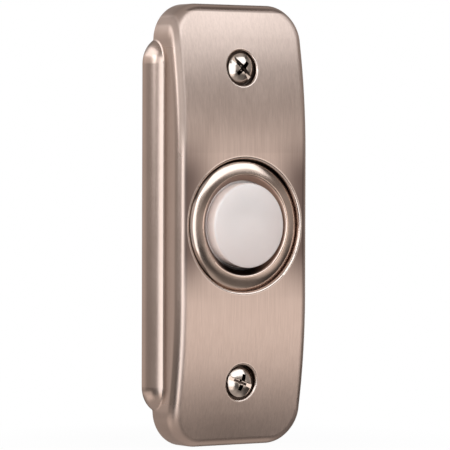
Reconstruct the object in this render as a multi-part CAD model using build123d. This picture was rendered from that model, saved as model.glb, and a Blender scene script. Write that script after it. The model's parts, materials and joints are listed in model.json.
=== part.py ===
from build123d import *
import os
from math import acos, asin, atan2, degrees, sin, sqrt

# Surface-mounted doorbell push button: a die-cast housing, a lit button in a polished ring and its switch.
# The wall is the plane Y = 0, the front faces -Y and Z is up.
# "Out" is the distance from the wall: a point that is 5 out has Y = -5. All sizes are in millimetres.

# Plate: the tall arched front of the housing
plate_height = 82.5
plate_width = 29.6
plate_corner = 6.8
plate_front = 8.8
plate_edge_round = 2.0
face_flat = 27.0
face_arch = 112.0
housing_wall = 1.8

# Base: the shorter and wider foot that shows beside the plate
base_height = 70.4
base_step = 2.4
base_corner = 5.2
base_thickness = 4.0
base_land = 0.3
base_blend = 0.4

# Polished ring, pressed into a round-edged recess of the plate
ring_radius = 12.3
ring_recess = 1.2
ring_recess_round = 0.6
ring_shoulder = 0.12
ring_lip_radius = 9.45
ring_crown_radius = 7.6
ring_lip_rise = 0.2
ring_tuck = 0.05
ring_lip_round = 0.45
ring_throat_height = 0.4
ring_clearance = 0.05

# Button cap: a domed translucent cap with a flange that the ring holds in
cap_radius = 7.9
cap_gap = 0.5
cap_wall_rise = 1.3
cap_crown_rise = 2.2
cap_edge_round = 0.5
cap_top_wall = 1.7
cap_bore_radius = 5.4
cap_flange_radius = 10.0
cap_flange_thickness = 1.0
cap_guide_clearance = 0.08
cap_stop_gap = 0.05
button_travel = 1.3

# Contact bridge: a bronze washer staked under the cap's flange
bridge_thickness = 0.4
bridge_bore = 6.2
bridge_radius = 9.4
bridge_clearance = 0.05
stake_length = 0.3
stake_overlap = 0.25

# Switch body: a moulded cup behind the plate, with an ear above and below
body_wall = 0.9
body_floor = 1.8
body_shoulder_radius = 12.3
body_shoulder = 1.2
body_clearance = 0.05
body_rim_gap = 0.05
seat_web = 1.7
seat_boss_radius = 13.4
ear_height = 15.2
ear_radius = 2.6

# Fixed contacts: brass strips folded through the floor of the cup
contact_gap = 0.05
contact_thickness = 0.4
contact_width = 6.0
contact_leg_gap = 0.35
contact_pad_end = 9.2
contact_inner_end = 2.0
contact_slot_clearance = 0.08

# Terminal screws at the back
terminal_x = 4.9
terminal_head_radius = 2.3
terminal_head = 1.4
terminal_shank_radius = 1.2
terminal_shank = 1.7
terminal_hole_clearance = 0.05

# Screws that hold the switch body to the housing
body_screw_head_radius = 1.9
body_screw_head = 1.1
body_screw_radius = 0.85
body_screw_bite = 1.6
body_screw_clearance = 0.05
pilot_spare = 0.2

# Mounting screws through the plate into the wall
screw_spacing = 58.6
screw_length = 19.0
screw_head_radius = 2.8
screw_head_rim = 0.7
screw_head_dome = 0.95
screw_head_sink = 0.45
screw_neck_radius = 1.15
screw_thread_radius = 1.42
screw_tip = 3.0
screw_hole_radius = 1.7
counterbore_radius = 3.3
counterbore_round = 0.35
screw_boss_radius = 5.0
upper_screw_turn = -45.0
lower_screw_turn = -20.0

# Screw drives
slot_width = 0.8
slot_depth = 0.65
cross_length = 3.3
cross_width = 0.85
cross_depth = 1.15
cross_taper = 12.0
small_slot_width = 0.6
small_slot_depth = 0.6

# Return spring
spring_wire = 0.4
spring_radius = 4.4
spring_turns = 3
spring_end_gap = 0.05

# Lamp, its resistor and their wires
lamp_radius = 1.5
lamp_height = 3.4
lamp_flange_radius = 1.9
lamp_flange = 0.7
lead_radius = 0.2
lead_pitch = 2.54
lead_bend = 0.5
lead_gap = 0.03
lead_hole_radius = 0.35
resistor_length = 3.4
resistor_drop = 6.2
resistor_loop = 1.1
wire_landing = 0.35

overshoot = 1.0

# The base goes round the plate with the same step on both sides
base_width = plate_width + 2 * base_step

# Places worked out from the sizes above, as distances out from the wall
ring_seat = plate_front - ring_recess
lip_out = plate_front + ring_lip_rise
ring_bore = cap_radius + cap_gap
flange_front = ring_seat - cap_stop_gap
flange_rear = flange_front - cap_flange_thickness
bridge_rear = flange_rear - bridge_thickness
contact_front = bridge_rear - button_travel - contact_gap
floor_front = contact_front - contact_thickness
floor_rear = floor_front - body_floor
strip_rear = floor_rear - contact_thickness
crown_out = plate_front + cap_crown_rise
ceiling_out = crown_out - cap_top_wall
body_seat = ring_seat - seat_web
shoulder_rear = body_seat - body_shoulder
body_bore = cap_flange_radius + cap_guide_clearance
body_radius = body_bore + body_wall
stake_radius = bridge_bore - bridge_clearance
contact_leg_x = stake_radius + stake_overlap + contact_leg_gap
screw_height = screw_spacing / 2
lead_x = lead_pitch / 2

# Planes: SIDE looks along X with out across and Z up, TURNING holds a radius across and out upwards
SIDE = Plane(origin=(0, 0, 0), x_dir=(0, -1, 0), z_dir=(-1, 0, 0))
TURNING = Plane(origin=(0, 0, 0), x_dir=(1, 0, 0), z_dir=(0, 0, -1))
OUTWARD = Axis((0, 0, 0), (0, -1, 0))


def at_out(out):
    """Plane parallel to the wall, with X across and Z up."""
    return Plane.XZ.offset(out)


def disc(radius, rear, front, x=0, z=0):
    """Round slab between two distances from the wall."""
    return extrude(at_out(rear) * Pos(x, z) * Circle(radius), front - rear)


def turned(*edges):
    """Solid of revolution about the button's axis, from a closed chain of edges in radius and out."""
    return revolve(TURNING * make_face(list(edges)), axis=OUTWARD)


def dome_arc(radius, edge, crown):
    """Arc from a rim up to a crown on the axis, with its centre on the axis."""
    rise = crown - edge
    sphere = (radius**2 + rise**2) / (2 * rise)
    start = degrees(atan2(edge - crown + sphere, radius))
    return CenterArc((0, crown - sphere), sphere, start, 90 - start)


def face_out(height):
    """How far the arched face stands out from the wall at a height above or below the button."""
    past_flat = max(abs(height) - face_flat / 2, 0)
    return plate_front - (face_arch - sqrt(face_arch**2 - past_flat**2))


def arched_block(width, height, corner, front, arch):
    """Upright block with rounded corners whose front is flat in the middle and falls away to both ends."""
    upright = extrude(Plane.XZ * RectangleRounded(width, height, corner), front)
    end = height / 2 + overshoot
    sweep = degrees(asin((end - face_flat / 2) / arch))
    upper = CenterArc((front - arch, face_flat / 2), arch, 0, sweep)
    lower = CenterArc((front - arch, -face_flat / 2), arch, -sweep, sweep)
    middle = Line(lower @ 1, upper @ 0)
    back = Polyline(upper @ 1, (-overshoot, end), (-overshoot, -end), lower @ 0)
    side = SIDE * make_face([lower, middle, upper, back])
    return upright & extrude(side, width, both=True)


def front_rim(block, front):
    """Edges round the front of an arched block, without the seams across its face."""
    forward = block.edges().filter_by(lambda edge: max(v.Y for v in edge.vertices()) < -front / 2)
    return forward.filter_by(lambda edge: abs(abs((edge @ 0.5).Z) - face_flat / 2) > plate_edge_round)


def on_plate_wall(edge):
    """Whether an edge is the line along which the base meets a side wall of the plate."""
    points = [edge @ t for t in (0, 0.5, 1)]
    off_wall = max(abs(abs(p.X) - plate_width / 2) for p in points)
    inside_base = max(abs(p.Z) for p in points) < base_height / 2
    return off_wall < 0.001 and inside_base and 0 < -points[1].Y < base_thickness


def hole_rim(solid, radius, height, deepest):
    """Edges of a round hole's mouth that lie further out than the given depth."""

    def on_mouth(edge):
        points = [edge @ t for t in (0, 0.25, 0.5, 0.75)]
        spread = max(abs(sqrt(p.X**2 + (p.Z - height) ** 2) - radius) for p in points)
        return spread < 0.01 and min(-p.Y for p in points) > deepest

    return solid.edges().filter_by(on_mouth)


def mirrored(solid):
    """The same piece on the other side of the button."""
    return mirror(solid, about=Plane.YZ)


def both_screw_places():
    """The two mounting screws' heights."""
    return (screw_height, -screw_height)


# Seat of the mounting screws' heads in their counterbores
head_seat = face_out(screw_height) - screw_head_sink - screw_head_rim


def housing_shell():
    """Die-cast plate and base in one piece, open at the back."""
    plate = arched_block(plate_width, plate_height, plate_corner, plate_front, face_arch)
    plate = fillet(front_rim(plate, plate_front), plate_edge_round)
    base = extrude(Plane.XZ * RectangleRounded(base_width, base_height, base_corner), base_thickness)
    base = fillet(base.faces().sort_by(Axis.Y)[0].edges(), base_thickness - base_land)
    outside = plate + base
    outside = fillet(outside.edges().filter_by(on_plate_wall), base_blend)

    twice = 2 * housing_wall
    hollow = arched_block(
        plate_width - twice,
        plate_height - twice,
        plate_corner - housing_wall,
        plate_front - housing_wall,
        face_arch - housing_wall,
    )
    foot = RectangleRounded(base_width - twice, base_height - twice, base_corner - housing_wall)
    hollow += extrude(Plane.XZ * foot, base_thickness - housing_wall)
    return outside, outside - hollow


def housing_bosses():
    """Seat behind the button, screw bosses of the switch body and posts of the mounting screws."""
    skin = housing_wall / 2
    bosses = disc(seat_boss_radius, body_seat, plate_front - skin)
    for side in (1, -1):
        bosses += disc(ear_radius, body_seat, face_out(ear_height + ear_radius) - skin, 0, side * ear_height)
    for height in both_screw_places():
        top = face_out(abs(height) + screw_boss_radius) - skin
        bosses += disc(screw_boss_radius, 0, top, 0, height)
    return bosses


def make_housing():
    outside, housing = housing_shell()
    housing += housing_bosses() & outside

    # Ring recess with its rounded mouth, and the bore that the switch body enters
    recess_radius = ring_radius + ring_clearance
    housing -= disc(recess_radius, ring_seat, plate_front + overshoot)
    housing -= disc(body_radius + body_clearance, 0, ring_seat + overshoot)
    housing = fillet(hole_rim(housing, recess_radius, 0, ring_seat + overshoot / 2), ring_recess_round)

    # Counterbored holes of the mounting screws
    for height in both_screw_places():
        housing -= disc(counterbore_radius, head_seat, plate_front + overshoot, 0, height)
        housing -= disc(screw_hole_radius, -overshoot, head_seat + overshoot, 0, height)
        mouth = hole_rim(housing, counterbore_radius, height, head_seat + overshoot / 4)
        housing = fillet(mouth, counterbore_round)

    # Pilot holes for the switch body's screws
    pilot_end = body_seat + body_screw_bite + pilot_spare
    for side in (1, -1):
        pilot = body_screw_radius + body_screw_clearance
        housing -= disc(pilot, body_seat - overshoot, pilot_end, 0, side * ear_height)
    return housing


def make_ring():
    """Half-round ring: an elliptical slope from its foot up to the lip, and a funnel to the throat."""
    foot_out = ring_seat + ring_shoulder
    throat = (ring_bore, ring_seat + ring_throat_height)
    half_width = ring_radius + ring_tuck - ring_crown_radius
    foot_turn = acos((ring_radius - ring_crown_radius) / half_width)
    lip_turn = acos((ring_lip_radius - ring_crown_radius) / half_width)
    half_height = (lip_out - foot_out) / (sin(lip_turn) - sin(foot_turn))
    middle = (ring_crown_radius, foot_out - half_height * sin(foot_turn))
    start = degrees(foot_turn)
    slope = EllipticalCenterArc(middle, half_width, half_height, start, arc_size=degrees(lip_turn) - start)
    rest = Polyline(slope @ 1, throat, (ring_bore, ring_seat), (ring_radius, ring_seat), slope @ 0)
    section = make_face([slope, rest])
    corner = section.vertices().sort_by_distance(slope @ 1)[0]
    section = fillet(corner, ring_lip_round)
    return revolve(TURNING * section, axis=OUTWARD)


def make_cap():
    """Domed cap with a guide flange and a stake that carries the contact bridge."""
    edge_out = plate_front + cap_wall_rise
    stake_rear = bridge_rear - stake_length
    dome = dome_arc(cap_radius, edge_out, crown_out)
    rest = Polyline(
        (0, crown_out),
        (0, ceiling_out),
        (cap_bore_radius, ceiling_out),
        (cap_bore_radius, stake_rear),
        (stake_radius + stake_overlap, stake_rear),
        (stake_radius + stake_overlap, bridge_rear),
        (stake_radius, bridge_rear),
        (stake_radius, flange_rear),
        (cap_flange_radius, flange_rear),
        (cap_flange_radius, flange_front),
        (cap_radius, flange_front),
        (cap_radius, edge_out),
    )
    section = make_face([dome, rest])
    corner = section.vertices().sort_by_distance((cap_radius, edge_out))[0]
    section = fillet(corner, cap_edge_round)
    return revolve(TURNING * section, axis=OUTWARD)


def make_bridge():
    """Flat washer that closes the circuit across both fixed contacts."""
    return disc(bridge_radius, bridge_rear, flange_rear) - disc(bridge_bore, bridge_rear, flange_rear)


def make_switch_body():
    """Moulded cup that guides the cap, with ears, contact slots and holes in its floor."""
    rim = ring_seat - body_rim_gap
    outline = Polyline(
        (0, floor_rear),
        (body_radius, floor_rear),
        (body_radius, shoulder_rear),
        (body_shoulder_radius, shoulder_rear),
        (body_shoulder_radius, body_seat),
        (body_radius, body_seat),
        (body_radius, rim),
        (body_bore, rim),
        (body_bore, floor_front),
        (0, floor_front),
        close=True,
    )
    body = turned(outline)
    ear_outline = Rot(0, 0, 90) * SlotCenterToCenter(2 * ear_height, 2 * ear_radius)
    body += extrude(at_out(shoulder_rear) * ear_outline, body_shoulder) - disc(body_bore, 0, rim)

    slot_play = 2 * contact_slot_clearance
    slot = Rectangle(contact_thickness + slot_play, contact_width + slot_play)
    for side in (1, -1):
        body -= disc(body_screw_radius + body_screw_clearance, 0, rim, 0, side * ear_height)
        leg_middle = side * (contact_leg_x + contact_thickness / 2)
        behind = floor_rear - overshoot
        body -= extrude(at_out(behind) * Pos(leg_middle, 0) * slot, body_floor + 2 * overshoot)
        shank_hole = terminal_shank_radius + terminal_hole_clearance
        body -= disc(shank_hole, behind, floor_front - contact_thickness, side * terminal_x, 0)
        body -= disc(lead_hole_radius, behind, floor_front + overshoot, side * lead_x, 0)
    return body


def make_right_contact():
    """Brass strip: a pad inside the cup, a leg through its floor and a terminal plate behind it."""
    leg_outer = contact_leg_x + contact_thickness
    strip = Polyline(
        (contact_inner_end, strip_rear),
        (leg_outer, strip_rear),
        (leg_outer, floor_front),
        (contact_pad_end, floor_front),
        (contact_pad_end, contact_front),
        (contact_leg_x, contact_front),
        (contact_leg_x, floor_rear),
        (contact_inner_end, floor_rear),
        close=True,
    )
    contact = extrude(TURNING * make_face(strip), contact_width / 2, both=True)
    tapped = terminal_shank_radius + terminal_hole_clearance
    return contact - disc(tapped, strip_rear - overshoot, floor_rear + overshoot, terminal_x, 0)


def make_terminal_screw(x):
    """Slotted screw that clamps a bell wire against the terminal plate."""
    head_rear = strip_rear - terminal_head
    screw = disc(terminal_head_radius, head_rear, strip_rear, x, 0)
    screw += disc(terminal_shank_radius, strip_rear, strip_rear + terminal_shank, x, 0)
    slot = Rectangle(3 * terminal_head_radius, small_slot_width)
    screw -= extrude(at_out(head_rear) * Pos(x, 0) * slot, small_slot_depth)
    return screw


def make_body_screw(height):
    """Pan screw through an ear of the switch body into the housing."""
    head_rear = shoulder_rear - body_screw_head
    screw = disc(body_screw_head_radius, head_rear, shoulder_rear, 0, height)
    screw += disc(body_screw_radius, shoulder_rear, body_seat + body_screw_bite, 0, height)
    slot = Rectangle(3 * body_screw_head_radius, small_slot_width)
    screw -= extrude(at_out(head_rear) * Pos(0, height) * slot, small_slot_depth)
    return screw


def make_mounting_screw(height, turn):
    """Domed wall screw with a combined slot and cross drive, turned as it was left."""
    rim_out = head_seat + screw_head_rim
    crown = rim_out + screw_head_dome
    tip = head_seat - screw_length
    dome = dome_arc(screw_head_radius, rim_out, crown)
    rest = Polyline(
        (0, crown),
        (0, tip),
        (screw_thread_radius, tip + screw_tip),
        (screw_thread_radius, 0),
        (screw_neck_radius, 0),
        (screw_neck_radius, head_seat),
        (screw_head_radius, head_seat),
        (screw_head_radius, rim_out),
    )
    screw = turned(dome, rest)
    slot = Rectangle(3 * screw_head_radius, slot_width)
    screw -= extrude(at_out(crown - slot_depth) * Rot(0, 0, turn) * slot, slot_depth + overshoot)
    for arm_turn in (turn, turn + 90):
        arm = at_out(crown) * Rot(0, 0, arm_turn) * Rectangle(cross_length, cross_width)
        screw -= extrude(arm, -cross_depth, taper=cross_taper)
    return Pos(0, 0, height) * screw


def make_spring():
    """Compression spring between the cup's floor and the cap, with a flat half turn at each end.

    Each half turn is a tilted half circle that starts and ends upright, so that the turns join smoothly.
    """
    first = floor_front + spring_wire / 2 + spring_end_gap
    last = ceiling_out - spring_wire / 2 - spring_end_gap
    climb = (last - first) / (2 * spring_turns)
    climbs = [0] + [climb] * (2 * spring_turns) + [0]
    arcs = []
    out = first
    side = 1
    for rise in climbs:
        half_span = sqrt(spring_radius**2 + (rise / 2) ** 2)
        start = (side * spring_radius, -out, 0)
        middle = (0, -out - rise / 2, side * half_span)
        end = (-side * spring_radius, -out - rise, 0)
        arcs.append(ThreePointArc(start, middle, end))
        out += rise
        side = -side
    path = Wire(arcs)
    section = Plane(origin=path @ 0, z_dir=path % 0) * Circle(spring_wire / 2)
    return sweep(section, path=path)


def make_lamp():
    """Round-topped lamp on the middle of the cup's floor."""
    top = floor_front + lamp_height
    shoulder = top - lamp_radius
    dome = dome_arc(lamp_radius, shoulder, top)
    rest = Polyline(
        (0, top),
        (0, floor_front),
        (lamp_flange_radius, floor_front),
        (lamp_flange_radius, floor_front + lamp_flange),
        (lamp_radius, floor_front + lamp_flange),
        (lamp_radius, shoulder),
    )
    return turned(dome, rest)


def wire(*points):
    """Round wire along straight runs with rounded bends; each point is X, out, Z."""
    places = [(x, -out, z) for x, out, z in points]
    path = FilletPolyline(*places, radius=lead_bend)
    section = Plane(origin=path @ 0, z_dir=path % 0) * Circle(lead_radius)
    return sweep(section, path=path)


# Wires lie flat on the back of the terminal plates, and the resistor fills the same depth
wire_out = strip_rear - lead_radius - lead_gap
resistor_radius = contact_thickness + lead_radius
resistor_top = -resistor_drop + resistor_length / 2
resistor_bottom = -resistor_drop - resistor_length / 2
solder_height = -(contact_width / 2 - wire_landing)


def make_lamp_leads():
    """One lead turns onto the right terminal plate, the other turns down to the resistor."""
    landing = contact_inner_end + wire_landing
    right = wire((lead_x, floor_front, 0), (lead_x, wire_out, 0), (landing, wire_out, 0))
    left = wire((-lead_x, floor_front, 0), (-lead_x, wire_out, 0), (-lead_x, wire_out, solder_height))
    return right + left


def make_resistor():
    """Small axial resistor below the lamp's left lead."""
    section = Plane.XY.offset(resistor_bottom) * Pos(-lead_x, -wire_out) * Circle(resistor_radius)
    return extrude(section, resistor_length)


def make_resistor_leads():
    """A straight lead up to the lamp's lead, and a loop onto the left terminal plate."""
    join = Plane.XY.offset(resistor_top) * Pos(-lead_x, -wire_out) * Circle(lead_radius)
    upper = extrude(join, solder_height - lead_gap - resistor_top)
    turn = resistor_bottom - resistor_loop
    lower = wire(
        (-lead_x, wire_out, resistor_bottom),
        (-lead_x, wire_out, turn),
        (-terminal_x, wire_out, turn),
        (-terminal_x, wire_out, solder_height),
    )
    return upper + lower


PIECES = {
    "housing": make_housing(),
    "bezel_ring": make_ring(),
    "button_cap": make_cap(),
    "contact_bridge": make_bridge(),
    "return_spring": make_spring(),
    "switch_body": make_switch_body(),
    "switch_screws": make_body_screw(ear_height) + make_body_screw(-ear_height),
    "contact_left": mirrored(make_right_contact()),
    "contact_right": make_right_contact(),
    "terminal_screws": make_terminal_screw(-terminal_x) + make_terminal_screw(terminal_x),
    "lamp": make_lamp(),
    "lamp_leads": make_lamp_leads(),
    "resistor": make_resistor(),
    "resistor_leads": make_resistor_leads(),
    "mounting_screws": make_mounting_screw(screw_height, upper_screw_turn)
    + make_mounting_screw(-screw_height, lower_screw_turn),
}

os.makedirs("parts", exist_ok=True)
for node, piece in PIECES.items():
    export_step(piece, f"parts/{node}.step")
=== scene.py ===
import json
from math import atan2, cos, pi, radians, sin, sqrt, tan

import bmesh
import bpy
from mathutils import Matrix, Vector


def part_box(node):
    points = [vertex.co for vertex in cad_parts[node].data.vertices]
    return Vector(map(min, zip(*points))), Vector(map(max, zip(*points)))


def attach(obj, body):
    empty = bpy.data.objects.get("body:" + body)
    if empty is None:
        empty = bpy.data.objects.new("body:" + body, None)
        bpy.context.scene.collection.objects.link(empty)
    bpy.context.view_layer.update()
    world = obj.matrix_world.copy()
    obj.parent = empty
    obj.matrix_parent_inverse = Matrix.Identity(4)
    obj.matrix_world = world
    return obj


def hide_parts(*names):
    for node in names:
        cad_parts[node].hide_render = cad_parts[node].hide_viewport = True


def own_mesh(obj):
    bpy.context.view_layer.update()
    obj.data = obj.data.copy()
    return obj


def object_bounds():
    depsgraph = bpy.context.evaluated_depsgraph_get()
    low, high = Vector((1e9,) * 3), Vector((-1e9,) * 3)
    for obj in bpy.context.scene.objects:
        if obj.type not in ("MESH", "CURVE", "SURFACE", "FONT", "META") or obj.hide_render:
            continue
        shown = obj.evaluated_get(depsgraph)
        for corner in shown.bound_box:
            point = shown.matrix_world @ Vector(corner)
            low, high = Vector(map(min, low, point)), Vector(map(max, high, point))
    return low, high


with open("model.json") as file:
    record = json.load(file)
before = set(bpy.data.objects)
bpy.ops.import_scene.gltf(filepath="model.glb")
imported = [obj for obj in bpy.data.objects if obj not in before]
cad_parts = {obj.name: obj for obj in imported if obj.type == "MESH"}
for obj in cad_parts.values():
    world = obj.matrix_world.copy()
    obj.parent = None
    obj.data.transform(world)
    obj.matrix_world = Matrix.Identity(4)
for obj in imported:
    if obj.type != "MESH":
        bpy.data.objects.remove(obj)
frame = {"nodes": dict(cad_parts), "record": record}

CAD_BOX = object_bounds()
MM = 0.001

# The housing's outside, from the frame and the face's curve
HOUSING_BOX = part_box("housing")
PLATE_HALF_WIDTH = 14.8 * MM
PLATE_CORNER = 6.8 * MM
FACE_FLAT = 27.0 * MM
FACE_ARCH = 112.0 * MM
OUTER_SKIN = 1.3 * MM

# The cap's domed front: its half width, its rise, and the radius that follows from them
CAP_RADIUS = 7.9 * MM
CAP_RISE = 0.9 * MM
CAP_DOME = (CAP_RADIUS**2 + CAP_RISE**2) / (2 * CAP_RISE)

# The mounting screws' places, from the record and the frame
SCREWS = next(row for row in frame["record"]["mounts"] if row["name"] == "wall_screws")
SCREW_HEIGHT = SCREWS["dims"]["spacing_y_mm"] * MM / 2
SCREW_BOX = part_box("mounting_screws")
CROWN_OUT = -SCREW_BOX[0].y
TIP_OUT = -SCREW_BOX[1].y
HEAD_RADIUS = SCREW_BOX[1].x

# The mounting screws' heads and threads
HEAD_RIM = 0.7 * MM
HEAD_DOME = 0.95 * MM
HEAD_EDGE_ROUND = 0.12 * MM
HEAD_ROWS = 14
HEAD_EDGE_ROWS = 6
NECK_RADIUS = 1.15 * MM
THREAD_RADIUS = SCREWS["dims"]["stud_r_mm"] * MM
THREAD_DEPTH = 0.38 * MM
THREAD_PITCH = 1.06 * MM
THREAD_ROWS = 16
TIP_LENGTH = 3.0 * MM
SCREW_SIDES = 48
SHARP_EDGE = radians(32.0)

# The mounting screws' drives, each turned as it was left, and how far a cutter stands above the crown
UPPER_TURN = radians(-45.0)
LOWER_TURN = radians(-20.0)
SLOT_WIDTH = 0.8 * MM
SLOT_DEPTH = 0.85 * MM
CROSS_LENGTH = 3.3 * MM
CROSS_WIDTH = 0.85 * MM
CROSS_DEPTH = 1.15 * MM
CROSS_TAPER = radians(12.0)
CUTTER_ABOVE = 0.5 * MM

# Soft edges of the marks in the finishes, most of them for painted shade, painted highlights and a painted
# glow, from where each starts to where it ends.
# Distances from a mounting screw's axis
DRIVE_FLOOR = (1.5 * MM, 1.9 * MM)
DRIVE_WALLS = (2.3 * MM, 2.5 * MM)
SCREW_HOLE = (3.25 * MM, 3.40 * MM)
SCREW_HOLE_MOUTH = (3.65 * MM, 3.80 * MM)
# Distances from the button's axis
CAP_MIDDLE = (1.1 * MM, 1.4 * MM)
CAP_FLANGE = (7.92 * MM, 7.96 * MM)
RING_THROAT = (9.05 * MM, 9.25 * MM)
RING_SLOPE = (10.3 * MM, 10.8 * MM)
RING_FOOT = (12.12 * MM, 12.28 * MM)
RECESS = (12.36 * MM, 12.50 * MM)
RECESS_MOUTH = (12.95 * MM, 13.10 * MM)
# Distances out from the wall
CAP_FLANGE_OUT = (7.3 * MM, 7.5 * MM)
CAP_SIDE_OUT = (7.2 * MM, 8.6 * MM)
CAP_FRONT_OUT = (10.6 * MM, 10.8 * MM)

# Colours of the finishes, as the darkest and the lightest where there are two
SATIN_FACE = ((0.47, 0.369, 0.321), (0.69, 0.556, 0.488))
SATIN_SIDE = ((0.475, 0.364, 0.310), (0.695, 0.550, 0.480))
# Painted shade on the face left and right of the ring
PAINTED_SHADE_BESIDE_RING = (0.135, 0.096, 0.084)
# Painted shade in the screw holes and in the ring's recess
PAINTED_SHADE_IN_HOLES = (0.025, 0.017, 0.013)
# Painted highlight on the mouths of the screw holes and the ring's recess
PAINTED_HIGHLIGHT_ON_MOUTHS = (0.80, 0.69, 0.62)
# Painted shade along the upper left edge
PAINTED_STRIP_SHADE = (0.22, 0.175, 0.15)
# Painted shade along the top edge
PAINTED_TOP_EDGE_SHADE = (0.12, 0.085, 0.07)
AS_CAST = ((0.22, 0.20, 0.185), (0.40, 0.375, 0.35))
POLISHED = ((0.63, 0.495, 0.417), (0.73, 0.59, 0.51))
# Painted shade on the ring's throat, foot, upper slope and upper right
POLISHED_PAINTED_SHADE = (0.075, 0.045, 0.032)
SCREW_HEAD = ((0.58, 0.495, 0.435), (0.74, 0.65, 0.585))
# Painted shade in the screws' drives
SCREW_DRIVE_SHADE = (0.035, 0.024, 0.02)
# The cap's front, from painted shade at the lower right to painted light at the upper left, with some random
# tone
CAP_FRONT_SHADE_TO_LIGHT = ((0.64, 0.545, 0.517), (0.86, 0.748, 0.714))
# Painted shade and a painted warm reflection on the cap's side
CAP_SIDE_SHADE = (0.70, 0.575, 0.525)
# Painted shade under the cap
CAP_UNDERSIDE_SHADE = (0.03, 0.016, 0.012)
# Painted shade on the cap's flange, away from the upper left
CAP_FLANGE_SHADE = (0.030, 0.018, 0.014)
# Painted glow in the cap's side and its upper left flange, though the cap is no lamp
CAP_PAINTED_GLOW = ((0.0, 0.0, 0.0), (0.185, 0.155, 0.145))
MOULDED_BLACK = ((0.022, 0.022, 0.024), (0.038, 0.037, 0.038))
LAMP_RESIN = ((0.80, 0.70, 0.50), (0.90, 0.84, 0.70))
RESISTOR_TAN = ((0.52, 0.40, 0.24), (0.62, 0.49, 0.32))
FLOOR_GREY = ((0.80, 0.80, 0.80), (0.84, 0.84, 0.84))
WHITE = (1.0, 1.0, 1.0)

# The resistor's bands: where the middle of each lies along it, and its paint
RESISTOR_BANDS = (
    (0.25, (0.16, 0.05, 0.03)),
    (0.45, (0.02, 0.02, 0.02)),
    (0.65, (0.42, 0.06, 0.03)),
)
# The soft edge of a band, as shares of the resistor's length from the band's middle
RESISTOR_BAND_EDGE = (0.055, 0.065)

# Camera: where the photograph was taken from, fitted to the object's outline
VIEW_TURN = radians(34.51)
VIEW_RISE = radians(1.127)
VIEW_ROLL = radians(-0.162)
VIEW_DISTANCE = 653.7 * MM
VIEW_SHIFT = (-1.221 * MM, 0.064 * MM)
PIXELS_PER_METRE = 5311.0
FRAME_PIXELS = 450
SENSOR = 36.0

# How bright the places of the room are that the metal mirrors, and its green and blue beside red
ROOM_LEVEL = 0.06
RIGHT_LEVEL = 0.08
WALL_LEVEL = 0.28
BACK_WALL_LEVEL = 0.20
TABLE_LEVEL = 1.32
WINDOW_LEVEL = 0.45
CEILING_LEVEL = 0.30
GROUND_LEVEL = 0.42
GROUND_SHADE = 0.37
LOW_BACK_LEVEL = 0.25
LOW_SIDE_LEVEL = 0.75
LOW_FRONT_LEVEL = 1.3
ROOM_GREEN = 0.92
ROOM_BLUE = 0.87

# Lamps: name, turn from the front and rise above the floor in degrees, distance, width, height, strength
LAMPS = (
    ("key_softbox", -23.0, 1.0, 0.75, 0.44, 0.66, 1.8),
    ("upper_softbox", 18.0, 35.0, 0.80, 1.10, 0.39, 1.9),
    ("back_softbox", -102.0, 41.0, 0.80, 1.15, 0.44, 1.4),
    ("side_softbox", -67.0, 18.0, 0.80, 0.26, 0.40, 2.2),
)
LAMP_WHITE = (0.95, 1.01, 1.06)

# The floor: half its width, its place under the object, and where it starts and ends to fade
FLOOR_REACH = 3.0
FLOOR_GAP = 0.02 * MM
FLOOR_FADE = (0.02, 0.06)


class Field:
    """A value, colour or vector on a surface. Arithmetic on values adds Math nodes to its shading."""

    def __init__(self, shading, socket):
        self.shading = shading
        self.socket = socket

    def math(self, operation, *values):
        return self.shading.node("ShaderNodeMath", {"operation": operation}, dict(enumerate(values)))

    def __add__(self, other):
        return self.math("ADD", self, other)

    def __radd__(self, other):
        return self.math("ADD", other, self)

    def __sub__(self, other):
        return self.math("SUBTRACT", self, other)

    def __rsub__(self, other):
        return self.math("SUBTRACT", other, self)

    def __mul__(self, other):
        return self.math("MULTIPLY", self, other)

    def __rmul__(self, other):
        return self.math("MULTIPLY", other, self)

    def __truediv__(self, other):
        return self.math("DIVIDE", self, other)

    def __rtruediv__(self, other):
        return self.math("DIVIDE", other, self)

    def __pow__(self, other):
        return self.math("POWER", self, other)

    def __neg__(self):
        return self.math("MULTIPLY", self, -1.0)

    def largest(self, other):
        return self.math("MAXIMUM", self, other)

    def size(self):
        return self.math("ABSOLUTE", self)

    def ease(self, start, end):
        """0 at start and 1 at end, with a smooth way between them."""
        limits = {"From Min": start, "From Max": end, "To Min": 0.0, "To Max": 1.0}
        settings = {"interpolation_type": "SMOOTHSTEP"}
        return self.shading.node("ShaderNodeMapRange", settings, {"Value": self, **limits})

    def within(self, start, full, fade, end):
        """1 from full to fade, with a smooth way to 0 at start and end."""
        return self.ease(start, full) * (1.0 - self.ease(fade, end))

    def part(self, axis):
        """One coordinate of a vector."""
        return self.shading.node("ShaderNodeSeparateXYZ", {}, {"Vector": self}, axis)

    def stretched(self, *factors):
        """A vector with each coordinate multiplied by its own factor."""
        settings = {"operation": "MULTIPLY"}
        return self.shading.node("ShaderNodeVectorMath", settings, {0: self, 1: factors})


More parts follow.
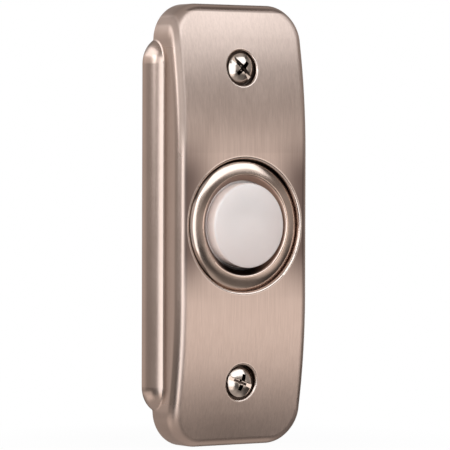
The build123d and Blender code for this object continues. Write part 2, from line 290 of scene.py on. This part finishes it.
class Shading:
    """The node tree of a finish, or of the world."""

    def __init__(self, tree):
        self.tree = tree
        tree.nodes.clear()

    def node(self, kind, settings, sockets, output=0):
        """Add one node: its settings first, then the values or links of its sockets."""
        made = self.tree.nodes.new(kind)
        for name, value in settings.items():
            setattr(made, name, value)
        for key, value in sockets.items():
            if isinstance(value, Field):
                self.tree.links.new(value.socket, made.inputs[key])
            else:
                made.inputs[key].default_value = value
        return Field(self, made.outputs[output]) if made.outputs else None

    def place(self):
        """Where a point lies in the part's own frame, in metres."""
        return self.node("ShaderNodeTexCoord", {}, {}, "Object")

    def normal(self):
        """The direction that the surface faces."""
        return self.node("ShaderNodeNewGeometry", {}, {}, "Normal")

    def facing(self, axis):
        """How far the surface faces along an axis of the part's own frame."""
        return self.normal().part(axis)

    def ray(self, kind):
        """1 for rays of one kind, such as Camera."""
        return self.node("ShaderNodeLightPath", {}, {}, f"Is {kind} Ray")

    def noise(self, vector, scale, detail, roughness=0.5):
        sockets = {"Vector": vector, "Scale": scale, "Detail": detail, "Roughness": roughness}
        return self.node("ShaderNodeTexNoise", {}, sockets, "Fac")

    def tint(self, factor, first, second):
        """Colour that goes from the first to the second."""
        first = first if isinstance(first, Field) else (*first, 1.0)
        second = second if isinstance(second, Field) else (*second, 1.0)
        settings = {"data_type": "RGBA"}
        return self.node("ShaderNodeMix", settings, {0: factor, 6: first, 7: second}, 2)

    def bump(self, height, depth, strength, **normal):
        sockets = {"Height": height, "Distance": depth, "Strength": strength, **normal}
        return self.node("ShaderNodeBump", {}, sockets)

    def output(self, shader, kind="ShaderNodeOutputMaterial"):
        """End the tree with a shader."""
        self.node(kind, {}, {"Surface": shader})

    def surface(self, sockets):
        """End the tree with a surface that has these values."""
        self.output(self.node("ShaderNodeBsdfPrincipled", {}, sockets))

    def metal(self, colour, roughness, normal, **constants):
        """End the tree with a metal surface."""
        sockets = {"Base Color": colour, "Roughness": roughness, "Metallic": 1.0, "Normal": normal}
        self.surface({**sockets, **constants})


def new_finish(name):
    """A new material with an empty tree."""
    material = bpy.data.materials.new(name)
    material.use_nodes = True
    return material, Shading(material.node_tree)


def screw_reach(place):
    """Distance from the axis of the nearer mounting screw, in metres."""
    height = place.part(2).size() - SCREW_HEIGHT
    return (place.part(0) ** 2.0 + height ** 2.0) ** 0.5


def axis_reach(place):
    """Distance from the button's axis, in metres."""
    return (place.part(0) ** 2.0 + place.part(2) ** 2.0) ** 0.5


def upper_left(place):
    """1 up and left of the button's axis, 0 down and right of it."""
    return (place.part(2) - place.part(0)).ease(-4.0 * MM, 4.0 * MM)


def lower_right(place):
    """1 well down and right of the button's axis."""
    return (place.part(0) - place.part(2)).ease(1.0 * MM, 8.0 * MM)


def painted_shade_beside_ring(place):
    """1 on the parts of the face left and right of the ring, where painted shade darkens it."""
    level = place.part(2).within(-15.0 * MM, -4.0 * MM, 8.0 * MM, 20.0 * MM)
    return place.part(0).size().ease(5.0 * MM, 13.0 * MM) * level


def inside_shell(place):
    """1 on the as-cast surfaces in the hollow of the housing, 0 on its outer skin."""
    high = place.part(2).size()
    fall = (high - FACE_FLAT / 2).largest(0.0) ** 2.0 / (2 * FACE_ARCH)
    depth = place.part(1) - HOUSING_BOX[0].y - fall
    wide = (place.part(0).size() - (PLATE_HALF_WIDTH - PLATE_CORNER)).largest(0.0)
    tall = (high - (HOUSING_BOX[1].z - PLATE_CORNER)).largest(0.0)
    reach = (wide ** 2.0 + tall ** 2.0) ** 0.5
    hollow = PLATE_CORNER - OUTER_SKIN
    return (1.0 - reach.ease(hollow, hollow + 0.3 * MM)) * depth.ease(OUTER_SKIN, OUTER_SKIN + 0.2 * MM)


def satin_nickel():
    """Satin nickel: brushed upright on the face, smoother on the sides, as cast in the hollow, with painted
    shade and painted highlights.
    """
    material, s = new_finish("satin_nickel")
    place = s.place()
    right = place.part(0)
    up = place.part(2)
    front = -s.facing(1)
    face = front.ease(0.86, 0.985)
    hairline = s.noise(place.stretched(1.0, 1.0, 0.012), scale=9000.0, detail=3.0, roughness=0.6)
    streak = s.noise(place.stretched(1.0, 1.0, 0.030), scale=3200.0, detail=3.0, roughness=0.6)
    cloud = s.noise(place, scale=130.0, detail=3.0)
    grain = (hairline - 0.5) * 0.60 + (streak - 0.5) * 0.60
    shade = (0.5 + grain * (0.25 + 0.75 * face) + (cloud - 0.5) * 0.25).ease(0.0, 1.0)
    colour = s.tint(face, s.tint(shade, *SATIN_SIDE), s.tint(shade, *SATIN_FACE))
    # Painted shade on the face left and right of the ring
    colour = s.tint(painted_shade_beside_ring(place) * face * 0.92, colour, PAINTED_SHADE_BESIDE_RING)

    # Painted shade in the screw holes and in the ring's recess, less of it at the recess's lower right, and
    # a painted highlight on the mouths of both
    screw = screw_reach(place)
    button = axis_reach(place)
    hole = 1.0 - screw.ease(*SCREW_HOLE)
    recess = 1.0 - button.ease(*RECESS)
    dark = (hole * 0.98).largest(recess * (0.92 - 0.5 * lower_right(place)))
    colour = s.tint(dark, colour, PAINTED_SHADE_IN_HOLES)
    mouth = (1.0 - button.ease(*RECESS_MOUTH)).largest(1.0 - screw.ease(*SCREW_HOLE_MOUTH))
    # Painted highlight on the mouths of the holes and the recess
    colour = s.tint(mouth * (1.0 - hole.largest(recess)) * 0.5, colour, PAINTED_HIGHLIGHT_ON_MOUTHS)
    roughness = 0.26 + face * 0.08 - mouth * 0.08 + grain * 0.10 * face + (cloud - 0.5) * 0.03

    # Rougher along the upper left edge, with painted shade there, rougher at the corners of the sides, and
    # painted shade along the top edge
    strip = (-right).within(13.0 * MM, 13.5 * MM, 14.1 * MM, 14.4 * MM) * up.ease(12.0 * MM, 20.0 * MM)
    colour = s.tint(strip * 0.42, colour, PAINTED_STRIP_SHADE)
    corner = right.size().ease(7.0 * MM, 11.0 * MM) * up.size().ease(32.5 * MM, 36.0 * MM)
    roughness = roughness + strip * 0.26 + corner * (1.0 - face) * 0.16
    # Painted shade along the top edge
    top_line = up.ease(39.65 * MM, 39.95 * MM) * front.ease(0.60, 0.80)
    colour = s.tint(top_line * 0.7, colour, PAINTED_TOP_EDGE_SHADE)

    inside = inside_shell(place) * (1.0 - hole)
    cast = s.noise(place, scale=1800.0, detail=4.0, roughness=0.6)
    colour = s.tint(inside, colour, s.tint(cast, *AS_CAST))
    roughness = roughness + inside * (0.16 + (cast - 0.5) * 0.10)
    normal = s.bump(grain * face + cast * inside * 6.0, depth=0.004 * MM, strength=0.5)
    s.metal(colour, roughness, normal, Anisotropic=0.55)
    return material


def polished_nickel():
    """Polished nickel with a faint haze, and painted shade in the throat, at the foot, on the upper slope
    and at the upper right of the ring.
    """
    material, s = new_finish("polished_nickel")
    place = s.place()
    right = place.part(0)
    up = place.part(2)
    haze = s.noise(place, scale=420.0, detail=4.0)
    pits = s.noise(place, scale=5200.0, detail=2.0)
    reach = axis_reach(place)
    # Painted shade on the ring: throat, foot (wider up and left, less at the lower right), upper slope and
    # upper right
    throat = (1.0 - reach.ease(*RING_THROAT)) * (0.90 - 0.29 * up.ease(0.0, 6.0 * MM))
    wider = upper_left(place) * 0.30 + (-right).ease(5.0 * MM, 9.0 * MM) * 0.38
    foot = (reach + wider * MM).ease(*RING_FOOT) * (0.8 - 0.42 * lower_right(place))
    slope = (1.0 - reach.ease(*RING_SLOPE)) * up.ease(1.0 * MM, 6.0 * MM)
    slope = slope * (1.0 - right.ease(1.0 * MM, 6.0 * MM)) * 0.6
    upper_right = right.ease(1.5 * MM, 5.0 * MM) * up.ease(5.0 * MM, 8.0 * MM) * 0.38
    ring_painted_shade = throat.largest(foot).largest(slope).largest(upper_right)
    colour = s.tint(ring_painted_shade, s.tint(haze, *POLISHED), POLISHED_PAINTED_SHADE)
    roughness = 0.16 + (haze - 0.5) * 0.06
    s.metal(colour, roughness, s.bump(pits, depth=0.002 * MM, strength=0.25))
    return material


def screw_nickel():
    """Nickel plated screw steel, with painted shade in the drive."""
    material, s = new_finish("screw_nickel")
    place = s.place()
    haze = s.noise(place, scale=900.0, detail=4.0)
    turning = s.noise(place, scale=4200.0, detail=3.0)
    reach = screw_reach(place)
    depth = place.part(1) + CROWN_OUT
    # Painted shade on the drive's steep walls and deep floor
    steep = (1.0 - (-s.facing(1)).ease(0.35, 0.75)) * (1.0 - reach.ease(*DRIVE_WALLS))
    deep = depth.ease(0.88 * MM, 1.00 * MM) * (1.0 - reach.ease(*DRIVE_FLOOR))
    drive = steep.largest(deep) * (1.0 - depth.ease(1.3 * MM, 1.5 * MM))
    colour = s.tint(drive * 0.97, s.tint(haze, *SCREW_HEAD), SCREW_DRIVE_SHADE)
    roughness = 0.17 + (haze - 0.5) * 0.10
    s.metal(colour, roughness, s.bump(turning, depth=0.004 * MM, strength=0.3))
    return material


def dome_normal(s, place):
    """The direction that the cap's surface faces, worked out from the dome round its middle."""
    settings = {"operation": "MULTIPLY_ADD"}
    sockets = {0: place, 1: (1 / CAP_DOME, 0.0, 1 / CAP_DOME), 2: (0.0, -1.0, 0.0)}
    dome = s.node("ShaderNodeVectorMath", settings, sockets)
    middle = (1.0 - axis_reach(place).ease(*CAP_MIDDLE)) * (-place.part(1)).ease(*CAP_FRONT_OUT)
    return s.node("ShaderNodeMix", {"data_type": "VECTOR"}, {0: middle, 4: s.normal(), 5: dome}, 1)


def cap_white():
    """Milky translucent moulding, painted lighter to the upper left, with painted shade on its side,
    underneath and on its lower flange, and a painted glow in its side and upper flange.
    """
    material, s = new_finish("cap_white")
    place = s.place()
    right = place.part(0)
    out = -place.part(1)
    up = place.part(2)
    cloud = s.noise(place, scale=180.0, detail=3.0)
    skin = s.noise(place, scale=1500.0, detail=2.0)
    # Painted light: lighter to the upper left, darker to the lower right
    lit = (up * 0.8 - right * 0.5).ease(-7.0 * MM, 7.0 * MM)
    side = 1.0 - (-s.facing(1)).ease(0.25, 0.90)
    under = side * (-s.facing(2)).ease(0.70, 0.97)
    flange = axis_reach(place).ease(*CAP_FLANGE) * out.ease(*CAP_FLANGE_OUT)
    lit_flange = flange * upper_left(place)
    dark_flange = flange * (1.0 - upper_left(place))
    colour = s.tint(lit * 0.8 + cloud * 0.2, *CAP_FRONT_SHADE_TO_LIGHT)
    # Painted shade on the side, underneath and on the lower flange
    colour = s.tint(side * 0.8, colour, CAP_SIDE_SHADE)
    colour = s.tint(under * 0.97, colour, CAP_UNDERSIDE_SHADE)
    colour = s.tint(dark_flange * 0.95, colour, CAP_FLANGE_SHADE)
    # Painted glow in the upper side and on the upper left flange, though the cap is no lamp
    glow = side * out.ease(*CAP_SIDE_OUT) * up.ease(-8.0 * MM, -3.0 * MM)
    glow = glow.largest(lit_flange * (-right).ease(0.8 * MM, 5.0 * MM))
    s.surface({
        "Base Color": colour,
        "Roughness": 0.30 + (skin - 0.5) * 0.06 + under.largest(dark_flange) * 0.6,
        "Normal": s.bump(skin, depth=0.01 * MM, strength=0.15, Normal=dome_normal(s, place)),
        "Emission Color": s.tint(glow, *CAP_PAINTED_GLOW),
        "Emission Strength": 1.0,
        "Subsurface Weight": 0.9,
        "Subsurface Radius": (1.0, 0.92, 0.88),
        "Subsurface Scale": 5.0 * MM,
        "IOR": 1.49,
        "Coat Weight": (1.0 - side) * (1.0 - dark_flange),
        "Coat Roughness": 0.14,
    })
    return material


def plain_metal(name, dark, light, roughness, grain_scale):
    """Finish of the small metal pieces behind the plate."""
    material, s = new_finish(name)
    place = s.place()
    haze = s.noise(place, scale=700.0, detail=4.0)
    grain = s.noise(place.stretched(1.0, 0.15, 1.0), scale=grain_scale, detail=3.0)
    normal = s.bump(grain, depth=0.004 * MM, strength=0.4)
    s.metal(s.tint(haze, dark, light), roughness + (grain - 0.5) * 0.12, normal)
    return material


def switch_plastic():
    """Black moulded plastic with a fine spark-eroded skin."""
    material, s = new_finish("switch_plastic")
    place = s.place()
    skin = s.noise(place, scale=6500.0, detail=3.0)
    cloud = s.noise(place, scale=300.0, detail=3.0)
    s.surface({
        "Base Color": s.tint(cloud, *MOULDED_BLACK),
        "Roughness": 0.48 + (cloud - 0.5) * 0.15,
        "Normal": s.bump(skin, depth=0.02 * MM, strength=0.5),
    })
    return material


def lamp_clear():
    """Diffused lamp resin."""
    material, s = new_finish("lamp_clear")
    cloud = s.noise(s.place(), scale=900.0, detail=3.0)
    s.surface({
        "Base Color": s.tint(cloud, *LAMP_RESIN),
        "Roughness": 0.18 + cloud * 0.1,
        "Subsurface Weight": 0.4,
        "Subsurface Scale": 0.8 * MM,
    })
    return material


def resistor_body():
    """Tan lacquer with plain bands round it."""
    material, s = new_finish("resistor_body")
    place = s.place()
    low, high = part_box("resistor")
    along = (place.part(2) - low.z) / (high.z - low.z)
    cloud = s.noise(place, scale=1200.0, detail=3.0)
    colour = s.tint(cloud, *RESISTOR_TAN)
    for middle, paint in RESISTOR_BANDS:
        band = 1.0 - (along - middle).size().ease(*RESISTOR_BAND_EDGE)
        colour = s.tint(band, colour, paint)
    s.surface({
        "Base Color": colour,
        "Roughness": 0.35 + (cloud - 0.5) * 0.1,
        "Normal": s.bump(cloud, depth=0.02 * MM, strength=0.3),
    })
    return material


FINISHES = {
    "satin_nickel": satin_nickel(),
    "polished_nickel": polished_nickel(),
    "screw_nickel": screw_nickel(),
    "cap_white": cap_white(),
    "switch_plastic": switch_plastic(),
    "lamp_clear": lamp_clear(),
    "resistor_body": resistor_body(),
    "bronze": plain_metal("bronze", (0.50, 0.27, 0.13), (0.66, 0.40, 0.22), 0.28, 3000.0),
    "spring_steel": plain_metal("spring_steel", (0.36, 0.36, 0.37), (0.52, 0.52, 0.53), 0.26, 4000.0),
    "plated_steel": plain_metal("plated_steel", (0.50, 0.51, 0.50), (0.66, 0.66, 0.63), 0.30, 3500.0),
    "brass_strip": plain_metal("brass_strip", (0.50, 0.33, 0.12), (0.66, 0.46, 0.20), 0.28, 2600.0),
    "terminal_brass": plain_metal("terminal_brass", (0.72, 0.55, 0.28), (0.88, 0.73, 0.44), 0.22, 3800.0),
    "tinned_wire": plain_metal("tinned_wire", (0.58, 0.58, 0.56), (0.72, 0.72, 0.69), 0.27, 3000.0),
}


def dress_nodes():
    """Give each carried-over piece the finish of its slot in the record."""
    for row in frame["record"]["subparts"]:
        materials = frame["nodes"][row["node"]].data.materials
        materials.clear()
        materials.append(FINISHES[row["material_slot"]])


def added(name, data):
    """A new object of the data, in the scene."""
    made = bpy.data.objects.new(name, data)
    bpy.context.scene.collection.objects.link(made)
    return made


def screw_rows():
    """A mounting screw's section, crown to tip: place out from the wall, core radius, thread height."""
    rows = []
    ball = (HEAD_RADIUS**2 + HEAD_DOME**2) / (2 * HEAD_DOME)
    middle = CROWN_OUT - ball
    inner = HEAD_RADIUS - HEAD_EDGE_ROUND
    edge_out = middle + sqrt((ball - HEAD_EDGE_ROUND) ** 2 - inner**2)
    edge_turn = atan2(inner, edge_out - middle)
    for step in range(1, HEAD_ROWS + 1):
        turn = edge_turn * step / HEAD_ROWS
        rows.append((middle + ball * cos(turn), ball * sin(turn), 0.0))
    for step in range(1, HEAD_EDGE_ROWS + 1):
        turn = edge_turn + (pi / 2 - edge_turn) * step / HEAD_EDGE_ROWS
        rows.append((edge_out + HEAD_EDGE_ROUND * cos(turn), inner + HEAD_EDGE_ROUND * sin(turn), 0.0))
    seat = CROWN_OUT - HEAD_DOME - HEAD_RIM
    rows += [(seat, HEAD_RADIUS, 0.0), (seat, NECK_RADIUS, 0.0)]
    core = THREAD_RADIUS - THREAD_DEPTH
    count = round(-TIP_OUT / THREAD_PITCH * THREAD_ROWS)
    for step in range(count):
        out = TIP_OUT * step / count
        taper = min(1.0, (out - TIP_OUT) / TIP_LENGTH)
        start = min(1.0, -out / THREAD_PITCH)
        radius = NECK_RADIUS + (core - NECK_RADIUS) * start
        rows.append((out, radius * taper, THREAD_DEPTH * start * taper))
    return rows


def turned_screw():
    """Mesh of a threaded screw along Y, without its drive."""
    corners = [(0.0, -CROWN_OUT, 0.0)]
    rows = screw_rows()
    for out, core, thread in rows:
        for side in range(SCREW_SIDES):
            share = side / SCREW_SIDES
            ridge = (0.5 + 0.5 * cos(2 * pi * (out / THREAD_PITCH + share))) ** 2
            radius = core + thread * ridge
            corners.append((radius * cos(2 * pi * share), -out, radius * sin(2 * pi * share)))
    corners.append((0.0, -TIP_OUT, 0.0))
    last = len(corners) - 1
    faces = []
    for side in range(SCREW_SIDES):
        after = (side + 1) % SCREW_SIDES
        faces.append((0, 1 + side, 1 + after))
        faces.append((last, last - SCREW_SIDES + after, last - SCREW_SIDES + side))
        for row in range(len(rows) - 1):
            first = 1 + row * SCREW_SIDES
            second = first + SCREW_SIDES
            faces.append((first + side, second + side, second + after, first + after))
    mesh = bpy.data.meshes.new("screw")
    mesh.from_pydata(corners, [], faces)
    return mesh


def wedge(turn, top, bottom):
    """Tapered block along Y, turned about it. Each end has half a length, half a width and a place out."""
    along = Vector((cos(turn), 0.0, sin(turn)))
    across = Vector((-sin(turn), 0.0, cos(turn)))
    corners = []
    for length, width, out in (top, bottom):
        for a, b in ((-1, -1), (1, -1), (1, 1), (-1, 1)):
            corners.append(along * (a * length) + across * (b * width) - Vector((0.0, out, 0.0)))
    faces = [(0, 1, 2, 3), (7, 6, 5, 4), (0, 4, 5, 1), (1, 5, 6, 2), (2, 6, 7, 3), (3, 7, 4, 0)]
    mesh = bpy.data.meshes.new("wedge")
    mesh.from_pydata(corners, [], faces)
    return mesh


def placed(mesh):
    """Object of a mesh, outward faces made sure of."""
    shape = bmesh.new()
    shape.from_mesh(mesh)
    bmesh.ops.recalc_face_normals(shape, faces=shape.faces)
    shape.to_mesh(mesh)
    shape.free()
    return added(mesh.name, mesh)


def cut(body, tool):
    """Take the tool's volume out of the body."""
    change = body.modifiers.new("cut", "BOOLEAN")
    change.operation = "DIFFERENCE"
    change.solver = "EXACT"
    change.object = tool
    state = bpy.context.evaluated_depsgraph_get()
    mesh = bpy.data.meshes.new_from_object(body.evaluated_get(state))
    body.modifiers.clear()
    body.data = mesh
    bpy.data.objects.remove(tool)


def cut_drive(screw, turn):
    """Cut the slot and the tapered cross into a screw's head."""
    above = CROWN_OUT + CUTTER_ABOVE
    slot_end = (2 * HEAD_RADIUS, SLOT_WIDTH / 2)
    cut(screw, placed(wedge(turn, (*slot_end, above), (*slot_end, CROWN_OUT - SLOT_DEPTH))))
    spread = CUTTER_ABOVE * tan(CROSS_TAPER)
    shrink = (CROSS_DEPTH + CUTTER_ABOVE) * tan(CROSS_TAPER)
    length = CROSS_LENGTH / 2 + spread
    width = CROSS_WIDTH / 2 + spread
    floor = (length - shrink, width - shrink, CROWN_OUT - CROSS_DEPTH)
    for arm in (turn, turn + pi / 2):
        cut(screw, placed(wedge(arm, (length, width, above), floor)))


def make_screws():
    """The two threaded wall screws with a combined slot and cross drive."""
    joined = bmesh.new()
    for height, turn in ((SCREW_HEIGHT, UPPER_TURN), (-SCREW_HEIGHT, LOWER_TURN)):
        screw = placed(turned_screw())
        cut_drive(screw, turn)
        screw.data.transform(Matrix.Translation((0.0, 0.0, height)))
        joined.from_mesh(screw.data)
        bpy.data.objects.remove(screw)
    mesh = bpy.data.meshes.new("wall_screws")
    joined.to_mesh(mesh)
    joined.free()
    mesh.shade_smooth()
    mesh.set_sharp_from_angle(angle=SHARP_EDGE)
    mesh.materials.append(FINISHES["screw_nickel"])
    screws = added("wall_screws", mesh)
    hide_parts("mounting_screws")
    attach(screws, "housing")


def make_spring():
    """The return spring, copied from its piece into a mesh of its own."""
    node = frame["nodes"]["return_spring"]
    low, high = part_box("return_spring")
    joint = next(row for row in frame["record"]["behaviour"]["joints"] if row["name"] == "button_press")
    spring = added("coil_spring", node.data.copy())
    spring.matrix_world = node.matrix_world
    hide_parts("return_spring")
    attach(spring, "housing")
    keep = 1.0 - joint["range_m"][1] / (high.y - low.y)
    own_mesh(spring)


def make_camera():
    """Camera at the photograph's viewing angle, distance and framing. Gives the direction it looks in."""
    toward = Vector((-sin(VIEW_TURN) * cos(VIEW_RISE), -cos(VIEW_TURN) * cos(VIEW_RISE), sin(VIEW_RISE)))
    level = Vector((cos(VIEW_TURN), -sin(VIEW_TURN), 0.0))
    raised = toward.cross(level)
    right = level * cos(VIEW_ROLL) - raised * sin(VIEW_ROLL)
    up = level * sin(VIEW_ROLL) + raised * cos(VIEW_ROLL)
    data = bpy.data.cameras.new("camera")
    data.sensor_width = SENSOR
    data.lens = SENSOR * PIXELS_PER_METRE * VIEW_DISTANCE / FRAME_PIXELS
    data.clip_start = 0.05
    camera = added("camera", data)
    place = VIEW_DISTANCE * toward - VIEW_SHIFT[0] * right - VIEW_SHIFT[1] * up
    camera.matrix_world = Matrix.Translation(place) @ Matrix((right, up, toward)).transposed().to_4x4()
    bpy.context.scene.camera = camera
    return -toward


def softbox(name, turn, rise, distance, width, height, strength):
    """Rectangular lamp that faces the button."""
    turn = radians(turn)
    rise = radians(rise)
    outward = Vector((sin(turn) * cos(rise), -cos(turn) * cos(rise), sin(rise)))
    data = bpy.data.lights.new(name, "AREA")
    data.shape = "RECTANGLE"
    data.size = width
    data.size_y = height
    data.energy = strength * width * height * pi
    data.color = LAMP_WHITE
    lamp = added(name, data)
    lamp.location = outward * distance
    lamp.rotation_mode = "QUATERNION"
    lamp.rotation_quaternion = outward.to_track_quat("Z", "Y")


def room_level(direction):
    """How bright the room is in a direction: dim, with lit walls, a window and bright places low down."""
    across, back, rise = (direction.part(axis) for axis in range(3))
    right = across.within(0.15, 0.42, 0.62, 0.80)
    back_left = (-across).ease(0.2, 0.5) * back.ease(0.3, 0.7)
    walls = rise.within(-0.25, 0.0, 0.25, 0.60)
    table = across.within(0.15, 0.42, 0.70, 0.90) * rise.within(-0.41, -0.20, -0.06, 0.11)
    window = (-across).ease(0.35, 0.80) * rise.within(0.02, 0.25, 0.70, 0.95)
    ceiling = rise.ease(0.55, 0.80)
    ground = 1.0 - rise.ease(-0.70, -0.40)
    ground_shade = across.ease(0.05, 0.35) * rise.ease(-0.84, -0.64)
    low_back = back_left * rise.within(-0.50, -0.20, -0.10, 0.05)
    low_side = (-across).ease(0.30, 0.75) * back.ease(-0.30, -0.05) * rise.within(-0.80, -0.55, -0.36, -0.20)
    low_front = across.within(-0.62, -0.45, -0.22, -0.08) * (1.0 - back.ease(-0.75, -0.60))
    low_front = low_front * rise.within(-0.66, -0.54, -0.38, -0.30)
    level = ROOM_LEVEL + right * RIGHT_LEVEL
    level = level + walls * (WALL_LEVEL - right * RIGHT_LEVEL + back_left * BACK_WALL_LEVEL)
    level = level + table * TABLE_LEVEL + window * WINDOW_LEVEL + ceiling * CEILING_LEVEL
    level = level + ground * (GROUND_LEVEL - GROUND_SHADE * ground_shade)
    return level + low_back * LOW_BACK_LEVEL + low_side * LOW_SIDE_LEVEL + low_front * LOW_FRONT_LEVEL


def make_world(forward):
    """Warm room round the object, and a white backdrop behind it as the camera sees it."""
    world = bpy.data.worlds.new("studio")
    bpy.context.scene.world = world
    world.use_nodes = True
    s = Shading(world.node_tree)
    direction = s.node("ShaderNodeTexCoord", {}, {}, "Generated")
    level = room_level(direction)
    room = s.node("ShaderNodeCombineColor", {}, {0: level, 1: level * ROOM_GREEN, 2: level * ROOM_BLUE})
    sockets = {0: direction, 1: tuple(forward)}
    ahead = s.node("ShaderNodeVectorMath", {"operation": "DOT_PRODUCT"}, sockets, "Value")
    behind = ahead.ease(0.90, 0.97)
    white = s.ray("Camera").largest(behind * s.ray("Glossy").largest(s.ray("Transmission")))
    backdrop = s.tint(white, room, WHITE)
    s.output(s.node("ShaderNodeBackground", {}, {"Color": backdrop}), "ShaderNodeOutputWorld")


def make_floor():
    """Pale floor that fades into the white backdrop away from the object and keeps its shadow."""
    mesh = bpy.data.meshes.new("floor")
    level = CAD_BOX[0].z - FLOOR_GAP
    corners = [(FLOOR_REACH * x, FLOOR_REACH * y, level) for x, y in ((-1, -1), (1, -1), (1, 1), (-1, 1))]
    mesh.from_pydata(corners, [], [(0, 1, 2, 3)])
    floor = added("floor", mesh)
    material, s = new_finish("floor")
    place = s.place()
    sockets = {0: place.stretched(1.0, 1.0, 0.0)}
    away = s.node("ShaderNodeVectorMath", {"operation": "LENGTH"}, sockets, "Value")
    grain = s.noise(place, scale=300.0, detail=3.0)
    matt = s.node("ShaderNodeBsdfDiffuse", {}, {"Color": s.tint(grain, *FLOOR_GREY)})
    glow = s.node("ShaderNodeEmission", {}, {"Color": (*WHITE, 1.0)})
    fade = (0.96 + 0.04 * away.ease(*FLOOR_FADE)) * s.ray("Camera").largest(s.ray("Transmission"))
    s.output(s.node("ShaderNodeMixShader", {}, {0: fade, 1: matt, 2: glow}))
    mesh.materials.append(material)
    floor.visible_glossy = False
    floor.visible_shadow = False


dress_nodes()
make_screws()
make_spring()
make_world(make_camera())
make_floor()
for lamp in LAMPS:
    softbox(*lamp)
bpy.context.scene.view_settings.view_transform = "Standard"
